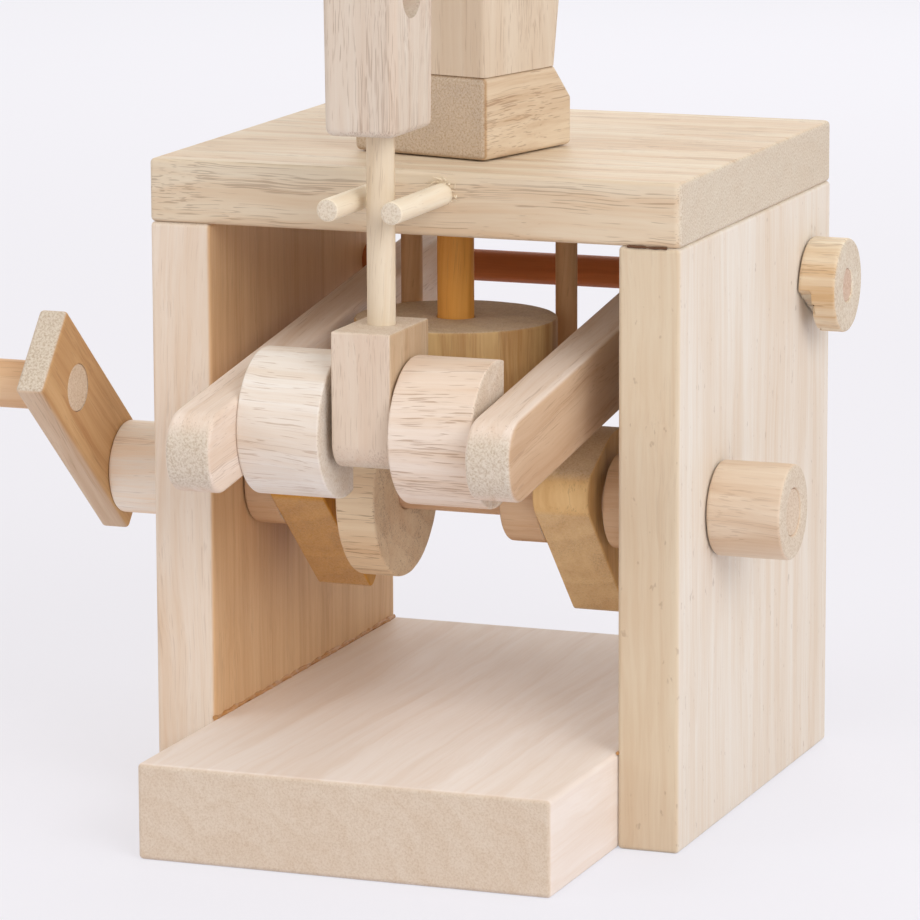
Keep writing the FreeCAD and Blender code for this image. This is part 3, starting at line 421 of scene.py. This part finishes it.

# name: grain, pith in mm, sapwood, heartwood, amounts
# Tones given with a face direction among the amounts are painted shade, for a face that lies in shade.
SAWN = {
    "left_panel": (ALONG_Z, (20, 90, 0), "#efe5d9", "#d2ac81", dict(
        Rings=0.12, Ring_width=8, Dashes=0.1, Hair_pores=0.22,
        heart_side=(ALONG_X, "#ebc9a0", "#c3925f"))),
    "right_panel": (ALONG_Z, (60, 90, 0), "#eae5dd", "#d2b695", dict(
        Rings=0.1, Ring_width=9, Dashes=0.0, Hair_pores=0.1, Marks=0.25,
        heart_side=(FRONT_FACE, "#e2d5be", "#c6a47e"))),
    "top_board": (ALONG_X, (0, 20, -60), "#e5dbc7", "#caa379", dict(
        Rings=0.2, Ring_width=6, Dashes=0.0, Hair_pores=0.5, Specks=0.8, pore="#6e4526")),
    "base_board": (ALONG_Y, (-70, 0, -95), "#f5eee9", "#dbc0a7", dict(
        Rings=0.13, Ring_width=6, Dashes=0.0, Hair_pores=0.0, Streaks=0.35, Specks=0.4,
        heart_side=(FRONT_FACE, "#e4d4c3", "#c6a482"))),
    "crank_hub": (ALONG_X, (12, 20, -15), "#f7f7f2", "#f7d3a9", TURNED),
    "left_collar": (ALONG_X, (12, 20, -15), "#e2c5a4", "#bd8c60", TURNED),
    "right_collar": (ALONG_X, (12, 20, -15), "#e2c5a4", "#bd8c60", TURNED),
    "cam_collar": (ALONG_X, (12, 20, -15), "#e2c5a4", "#bd8c60", TURNED),
    "axle_cap": (ALONG_X, (8, 25, 18), "#e7d7c3", "#c5a07b", TURNED),
    "right_rod_cap": (ALONG_X, (8, -22, 18), "#f7f3e2", "#d2b085", ROD_CAP),
    "left_rod_cap": (ALONG_X, (8, 22, 18), "#f7f3e2", "#d2b085", ROD_CAP),
    "crank_axle": (ALONG_X, (9, 9, 3), "#e6c7aa", "#c49468", DOWEL),
    "crank_arm": (ALONG_ARM, (30, 10, 0), "#e1cdb5", "#bf9975", dict(
        Streaks=0.7, Dashes=0.1, Specks=0.95, heart_side=(ALONG_X, "#dcb98a", "#b18151"))),
    "crank_handle": (ALONG_X, (9, 9, 3), "#eacba8", "#cf9f70", DOWEL),
    # The deep amber of the cams, the disc and the shaft is partly their wood and partly painted shade
    # of the box's inside.
    "left_cam": (ALONG_Z, (5, 30, 0), "#e1aa4d", "#b77825", dict(Dashes=0.3)),
    "right_cam": (ALONG_Z, (5, 30, 0), "#f1cf96", "#c89454", dict(Dashes=0.2)),
    "friction_wheel": (ALONG_X, (0, 30, 20), "#efdcbd", "#c99e71", dict(Dashes=0.7, Specks=0.2)),
    "friction_disc": (ALONG_Z, (30, 30, 0), "#d8ba85", "#a1723f", dict(Streaks=0.8, Specks=0.5)),
    "upright_shaft": (ALONG_Z, (9, 9, 3), "#f3b65c", "#ca822f", DOWEL),
    "shoe_block": (ALONG_SHOE, (30, 0, -30), "#ebddc6", "#b8936b", dict(
        Rings=0.1, Ring_width=5, Dashes=0.6, Hair_pores=0.5, Streaks=0.6, Specks=0.65,
        heart_side=(FRONT_FACE, "#bd986c", "#946c3f"))),
    "figure_body": (ALONG_Z, (60, 30, 0), "#ded0bd", "#be9e7c", dict(
        Rings=0.12, Ring_width=7, Dashes=0.4, Streaks=0.35)),
    "neck_peg": (ALONG_Z, (9, 9, 3), "#e9cda8", "#cf9f70", DOWEL),
    "figure_head": (ALONG_Z, (25, 30, 0), "#ecd5ba", "#cf9f70", dict(Rings=0.3)),
    "left_lever": (ALONG_LEVER, (40, 0, 30), "#f1e5db", "#cca984", dict(Specks=0.85, Dashes=0.1)),
    "right_lever": (ALONG_LEVER, (-40, 0, 30), "#f1e5db", "#cca984", dict(
        Specks=0.85, Dashes=0.1, heart_side=(ALONG_X, "#d3b79a", "#ac815a"))),
    # The rear rod's red is partly its wood and partly painted shade of the box's inside.
    "rear_rod": (ALONG_X, (9, 9, 3), "#cf7f4a", "#9b552b", DOWEL),
    "front_axle": (ALONG_X, (9, 9, 3), "#e2bf98", "#c08d5d", DOWEL),
    "left_drum": (ALONG_X, (0, 30, 24), "#f2efeb", "#d7bd9e", dict(
        Dashes=0.5, Hair_pores=0.25, pore="#96693f")),
    "right_drum": (ALONG_X, (0, 32, -20), "#f1e5da", "#d5b28d", dict(
        Dashes=0.65, Hair_pores=0.2, pore="#96693f", bump=0.6)),
    "swivel_block": (ALONG_Z, (25, 40, 0), "#e3d5c5", "#cba689", dict(
        Streaks=0.4, Dashes=0.3, heart_side=(ALONG_X, "#d1bb9f", "#b38a5f"))),
    "push_rod": (ALONG_Z, (9, 9, 3), "#e9decb", "#d7c09f", DOWEL),
    "lifted_block": (ALONG_Z, (25, 40, 0), "#e0d7cb", "#c5a589", dict(Dashes=0.5, Hair_pores=0.45)),
    "left_guide_peg": (ALONG_Y, (9, 9, 3), "#f7f0de", "#e4cbaa", DOWEL),
    "right_guide_peg": (ALONG_Y, (9, 9, 3), "#f7f0de", "#e4cbaa", DOWEL),
    "left_hanging_rod": (ALONG_Z, (9, 9, 3), "#e6c49c", "#c2905f", DOWEL),
    "right_hanging_rod": (ALONG_Z, (9, 9, 3), "#e6c49c", "#c2905f", DOWEL),
}

# %% Put the wood on the pieces
woods = {}
for name, (grain, pith, sapwood, heartwood, amounts) in SAWN.items():
    woods[name] = wood(name, grain, pith, sapwood, heartwood, **amounts)
    solid = frame["nodes"][name]
    solid.data.materials.clear()
    solid.data.materials.append(woods[name])
print("woods made:", len(woods), "pieces without one:", sorted(set(frame["nodes"]) - set(woods)))

# %% [markdown]
# ## Turned pieces
# The hub, the collars, the caps, the wheel and the disc are slices of thick dowel with a hole bored
# through. All nine follow one rule, so one Geometry Nodes tree makes them: a rectangle with rounded
# corners, the section of the wall, is swept round a circle. A dowel slice is never quite round,
# which a slow noise along the normal gives. One cap is broken beside the board: there, whatever
# stands out past a flat plane is pushed back onto it, the way wood splits along its grain.

# %% A tree for turned rings
def open_tree(name, inputs):
    """Start a Geometry Nodes tree with named inputs and give their sockets."""
    tree = bpy.data.node_groups.new(name, "GeometryNodeTree")
    tree.interface.new_socket("Geometry", in_out="OUTPUT", socket_type="NodeSocketGeometry")
    for label, kind in inputs:
        tree.interface.new_socket(label, in_out="INPUT", socket_type="NodeSocket" + kind)
    return tree, add_node(tree, "NodeGroupInput").outputs


RING_SIDES = 144
# Noise lumps per metre, on the rim and, across and along the grain, in the break
RIM_LUMPS, RIP_LUMPS = 140.0, (900.0, 900.0, 250.0)
# How far the noise moves the splitting plane and the end of the break, from crest to crest
RIP_DEEP, RIP_LONG = 1.2 * MM, 3 * MM
RING, given = open_tree("turned_ring", (
    ("Radius", "Float"), ("Bore", "Float"), ("Length", "Float"), ("Edge", "Float"),
    ("Runout", "Float"), ("Break depth", "Float"), ("Break length", "Float"),
    ("Break side", "Vector"), ("Cuts", "Int"), ("Middle", "Vector"), ("Turn", "Vector"),
    ("Seed", "Float"), ("Wood", "Material")))
tree = RING
wall = add_node(tree, MATH, given["Radius"], given["Bore"], operation="SUBTRACT")
sweep = add_node(tree, MATH, given["Radius"], given["Bore"], operation="ADD")
sweep = add_node(tree, MATH, sweep, 0.5, operation="MULTIPLY")
path = add_node(tree, "GeometryNodeCurvePrimitiveCircle", Resolution=RING_SIDES, Radius=sweep)
section = add_node(tree, "GeometryNodeCurvePrimitiveQuadrilateral", Width=wall,
                   Height=given["Length"])
section = add_node(tree, "GeometryNodeFilletCurve", section, mode="POLY", Count=4, Radius=given["Edge"])
section = add_node(tree, "GeometryNodeSubdivideCurve", section, given["Cuts"])
ring = add_node(tree, "GeometryNodeCurveToMesh", path, section)

spot = add_node(tree, "GeometryNodeInputPosition")
noise = add_node(tree, VECTOR, spot, RIM_LUMPS, operation="SCALE")
noise = add_node(tree, NOISE, noise, noise_dimensions="4D", W=given["Seed"], Scale=1.0, Detail=2.0)
stray = add_node(tree, MATH, noise, 0.5, operation="SUBTRACT")
stray = add_node(tree, MATH, stray, given["Runout"], operation="MULTIPLY")
offset = add_node(tree, VECTOR, add_node(tree, "GeometryNodeInputNormal"), stray, operation="SCALE")
ring = add_node(tree, "GeometryNodeSetPosition", ring, Offset=offset)

# The break: how far a point stands out past the splitting plane, and whether it is near the board
out = add_node(tree, VECTOR, spot, given["Break side"], operation="DOT_PRODUCT")
plane = add_node(tree, MATH, given["Radius"], given["Break depth"], operation="SUBTRACT")
rip = add_node(tree, VECTOR, spot, RIP_LUMPS, operation="MULTIPLY")
rip = add_node(tree, NOISE, rip, Scale=1.0, Detail=3.0)
rip = add_node(tree, MATH, rip, 0.5, operation="SUBTRACT")
out = add_node(tree, MATH, out, plane, operation="SUBTRACT")
out = add_node(tree, MATH, rip, RIP_DEEP, out, operation="MULTIPLY_ADD")
out = add_node(tree, MATH, out, 0.0, operation="MAXIMUM")
depth = add_node(tree, "ShaderNodeSeparateXYZ", spot).outputs["Z"]
limit = add_node(tree, MATH, given["Length"], 0.5, operation="MULTIPLY")
limit = add_node(tree, MATH, given["Break length"], limit, operation="SUBTRACT")
limit = add_node(tree, MATH, rip, RIP_LONG, limit, operation="MULTIPLY_ADD")
near = add_node(tree, MATH, depth, limit, operation="LESS_THAN")
push = add_node(tree, MATH, out, near, operation="MULTIPLY")
push = add_node(tree, MATH, push, -1.0, operation="MULTIPLY")
push = add_node(tree, VECTOR, given["Break side"], push, operation="SCALE")
ring = add_node(tree, "GeometryNodeSetPosition", ring, Offset=push)

ring = add_node(tree, "GeometryNodeTransform", ring, Translation=given["Middle"],
                Rotation=given["Turn"])
ring = add_node(tree, "GeometryNodeRealizeInstances", ring)
ring = add_node(tree, "GeometryNodeSetMaterial", ring, Material=given["Wood"])
add_node(tree, "NodeGroupOutput", ring)
print("nodes in the ring's tree:", len(tree.nodes))

# %% [markdown]
# A tree runs as a modifier. Its inputs are set by each socket's identifier, because the names that a
# reader sees are only labels. The evaluated result is copied into a plain mesh and the modifier
# goes, so what is left is an ordinary piece, which turns with the body of the solid it belongs to.

# %% Run a tree and keep a plain mesh
SHARP_FROM = math.radians(35)


def grow(name, tree, node, **values):
    """Run a tree, keep its result as a plain mesh and let it ride with the body of a node."""
    piece = bpy.data.objects.new(name, bpy.data.meshes.new(name))
    bpy.context.scene.collection.objects.link(piece)
    modifier = piece.modifiers.new(name, "NODES")
    modifier.node_group = tree
    for socket in tree.interface.items_tree:
        key = socket.name.replace(" ", "_")
        if key in values:
            modifier[socket.identifier] = values[key]
    bpy.context.view_layer.update()
    evaluated = piece.evaluated_get(bpy.context.evaluated_depsgraph_get())
    mesh = bpy.data.meshes.new_from_object(evaluated)
    piece.modifiers.remove(modifier)
    piece.data = mesh
    shell = bmesh.new()
    shell.from_mesh(mesh)
    if shell.calc_volume(signed=True) < 0:
        bmesh.ops.reverse_faces(shell, faces=shell.faces)
    shell.to_mesh(mesh)
    shell.free()
    mesh.shade_smooth()
    mesh.set_sharp_from_angle(angle=SHARP_FROM)
    bodies = frame["record"]["behaviour"]["bodies"]
    body = [key for key, names in bodies.items() if node in names][0]
    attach(piece, body)
    return piece


# %% [markdown]
# Each ring's length and radius come from the box of the solid that it stands for, so it can't end up
# anywhere else. Only the bore, the wear and the break are new.

# %% Turn the rings
# Radii in mm, each 0.05 mm more than its dowel's
AXLE_BORE, ROD_BORE, SHAFT_BORE = 5.05, 3.65, 4.05
# How far a rim strays from round in mm, from crest to crest
RUNOUT = 0.28
# The split faces down and to the front; before a ring is turned, its X points down and its Y back
BREAK_TOWARDS = Vector((0.87, -0.5, 0)).normalized()
# How often each side of the section is divided: often enough for a crisp step where it breaks
CUTS_WHOLE, CUTS_BROKEN = 3, 11
# Steps from one ring to the next in the noise's fourth dimension, so that no two are alike
RING_APART = 3.7
# node: bore in mm, worn edge in mm, depth and length of the break in mm
TURNED_RINGS = {
    "crank_hub": (AXLE_BORE, 0.7, 0, 0), "left_collar": (AXLE_BORE, 0.6, 0, 0),
    "cam_collar": (AXLE_BORE, 0.6, 0, 0), "right_collar": (AXLE_BORE, 0.6, 0, 0),
    "axle_cap": (AXLE_BORE, 0.8, 0, 0), "left_rod_cap": (ROD_BORE, 0.8, 0, 0),
    "right_rod_cap": (ROD_BORE, 0.8, 5.3, 3.0), "friction_wheel": (AXLE_BORE, 0.6, 0, 0),
    "friction_disc": (SHAFT_BORE, 0.6, 0, 0),
}
for seed, (node, (bore, edge, depth, length)) in enumerate(TURNED_RINGS.items()):
    low, high = (Vector(corner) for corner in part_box(node))
    size = high - low
    lies_flat = node == "friction_disc"
    ring = grow("turned_" + node, RING, node, Radius=size.y / 2, Bore=bore * MM, Edge=edge * MM,
                Length=size.z if lies_flat else size.x, Runout=RUNOUT * MM,
                Break_depth=depth * MM, Break_length=length * MM, Break_side=BREAK_TOWARDS,
                Cuts=CUTS_BROKEN if depth else CUTS_WHOLE, Middle=(low + high) / 2,
                Turn=(0, 0, 0) if lies_flat else (0, math.pi / 2, 0), Seed=seed * RING_APART,
                Wood=woods[node])
    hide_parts(node)
    print(ring.name, [round(side / MM, 1) for side in ring.dimensions], "instead of",
          [round(side / MM, 1) for side in size])

# %% [markdown]
# ## Splinters
# The hole of the right guide peg was drilled from the front and the upper right of its rim tore.
# Splinters are the same thin pyramid many times over, so the tree puts one on each of a number of
# points along an arc and moves, turns and stretches each by its own random amount, with a fixed seed.

# %% Splinters round the right guide peg
# The torn arc in radians, then least and most of each splinter's lean, stretch and offset
TORN_FROM, TORN_OVER = -0.5, 2.6
LEAN = ((-1.0, -1.0, 0.0), (1.0, 1.0, 3.1))
STRETCH = ((0.5, 0.5, 0.3), (1.3, 1.0, 1.0))
STRAY = ((-0.5 * MM, -0.5 * MM, 0.0), (0.5 * MM, 0.5 * MM, 0.3 * MM))
SPLINTERS, given = open_tree("torn_rim", (
    ("Radius", "Float"), ("Count", "Int"), ("Thickness", "Float"), ("Length", "Float"),
    ("Middle", "Vector"), ("Seed", "Int"), ("Wood", "Material")))
tree = SPLINTERS
rim = add_node(tree, "GeometryNodeCurveArc", Resolution=64, Radius=given["Radius"],
               Start_Angle=TORN_FROM, Sweep_Angle=TORN_OVER)
rim = add_node(tree, "GeometryNodeCurveToPoints", rim, given["Count"])
sliver = add_node(tree, "GeometryNodeMeshCone", Vertices=4, Radius_Top=0.01 * MM,
                  Radius_Bottom=given["Thickness"], Depth=given["Length"])
lean, stretch, stray = (
    add_node(tree, "FunctionNodeRandomValue", *spread, Seed=given["Seed"], data_type="FLOAT_VECTOR")
    for spread in (LEAN, STRETCH, STRAY))
rim = add_node(tree, "GeometryNodeSetPosition", rim, Offset=stray)
slivers = add_node(tree, "GeometryNodeInstanceOnPoints", rim, Instance=sliver, Rotation=lean,
                   Scale=stretch)
slivers = add_node(tree, "GeometryNodeTransform", slivers, Translation=given["Middle"],
                   Rotation=(math.pi / 2, 0, 0))
slivers = add_node(tree, "GeometryNodeRealizeInstances", slivers)
slivers = add_node(tree, "GeometryNodeSetMaterial", slivers, Material=given["Wood"])
add_node(tree, "NodeGroupOutput", slivers)

low, high = (Vector(corner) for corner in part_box("right_guide_peg"))
board_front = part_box("top_board")[0][1]
hole = ((low.x + high.x) / 2, board_front, (low.z + high.z) / 2)
torn_rim = grow("torn_peg_rim", SPLINTERS, "top_board", Radius=2.9 * MM, Count=18,
                Thickness=0.22 * MM, Length=2.6 * MM, Middle=hole, Seed=4,
                Wood=woods["right_guide_peg"])
print("triangles in the torn rim:", sum(len(face.vertices) - 2 for face in torn_rim.data.polygons))

# %% [markdown]
# ## Dried glue
# The boards are joined with wood glue, and where a joint was pressed together a thin bead of it came
# out and dried brown, harder and a little glossier than the wood. A bead is a line swept with a small
# circle; a noise lets the line wander and the bead swell and shrink, so every joint gets a different
# one from the same tree. The bead under the top board is much darker: painted shade of that joint.

# %% Beads of glue in the joints
# Noise lumps per metre, points along a bead, and steps from one bead to the next in the noise
BEAD_LUMPS, BEAD_POINTS, BEAD_APART = 260.0, 180, 5.3
GLUE, given = open_tree("glue_bead", (
    ("Start", "Vector"), ("End", "Vector"), ("Radius", "Float"), ("Wander", "Float"),
    ("Seed", "Float"), ("Glue", "Material")))
tree = GLUE
noise = add_node(tree, "GeometryNodeInputPosition")
noise = add_node(tree, VECTOR, noise, BEAD_LUMPS, operation="SCALE")
noise = add_node(tree, NOISE, noise, noise_dimensions="4D", W=given["Seed"], Scale=1.0, Detail=3.0)
drift = add_node(tree, VECTOR, noise.outputs["Color"], HALF, operation="SUBTRACT")
drift = add_node(tree, VECTOR, drift, given["Wander"], operation="SCALE")
bead = add_node(tree, "GeometryNodeCurvePrimitiveLine", given["Start"], given["End"])
bead = add_node(tree, "GeometryNodeResampleCurve", Curve=bead, Count=BEAD_POINTS)
bead = add_node(tree, "GeometryNodeSetPosition", bead, Offset=drift)
section = add_node(tree, "GeometryNodeCurvePrimitiveCircle", Resolution=8, Radius=given["Radius"])
bead = add_node(tree, "GeometryNodeCurveToMesh", bead, section, Fill_Caps=True)
swell = add_node(tree, RANGE, noise, 0.3, 0.7, -0.8, 0.4)
swell = add_node(tree, MATH, swell, given["Radius"], operation="MULTIPLY")
swell = add_node(tree, VECTOR, add_node(tree, "GeometryNodeInputNormal"), swell, operation="SCALE")
bead = add_node(tree, "GeometryNodeSetPosition", bead, Offset=swell)
bead = add_node(tree, "GeometryNodeRealizeInstances", bead)
bead = add_node(tree, "GeometryNodeSetMaterial", bead, Material=given["Glue"])
add_node(tree, "NodeGroupOutput", bead)

left_low, left_high = (Vector(corner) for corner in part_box("left_panel"))
right_low, right_high = (Vector(corner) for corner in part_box("right_panel"))
base_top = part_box("base_board")[1][2]
# The second colour is painted shade, for the bead in the joint under the top board.
BROWN_GLUE, PAINTED_SHADE_GLUE = "#c08e56", "#5f3a20"
# joint: start, end, radius and wander in mm, colour
JOINTS = {
    "glue_base_left": ((left_high.x, left_low.y, base_top), (left_high.x, left_high.y, base_top),
                       0.65, 1.2, BROWN_GLUE),
    "glue_base_right": ((right_low.x, right_low.y, base_top),
                        (right_low.x, right_high.y, base_top), 0.45, 0.8, BROWN_GLUE),
    # This bead is dark brown: painted shade of the joint under the top board.
    "glue_top_right": ((right_low.x + 2 * MM, right_low.y, right_high.z),
                       (right_high.x - 3 * MM, right_low.y, right_high.z), 0.36, 0.5, PAINTED_SHADE_GLUE),
}
for seed, (joint, (start, end, thick, wander, colour)) in enumerate(JOINTS.items()):
    glue = bpy.data.materials.new("dried_" + joint)
    glue.use_nodes = True
    glue.node_tree.nodes.clear()
    dried = add_node(glue.node_tree, "ShaderNodeBsdfPrincipled", Base_Color=linear(colour),
                     Roughness=0.45, IOR=1.45)
    add_node(glue.node_tree, "ShaderNodeOutputMaterial", Surface=dried)
    bead = grow(joint, GLUE, "base_board", Start=start, End=end, Radius=thick * MM,
                Wander=wander * MM, Seed=seed * BEAD_APART, Glue=glue)
    print(joint, [round(side / MM, 1) for side in bead.dimensions], "mm")
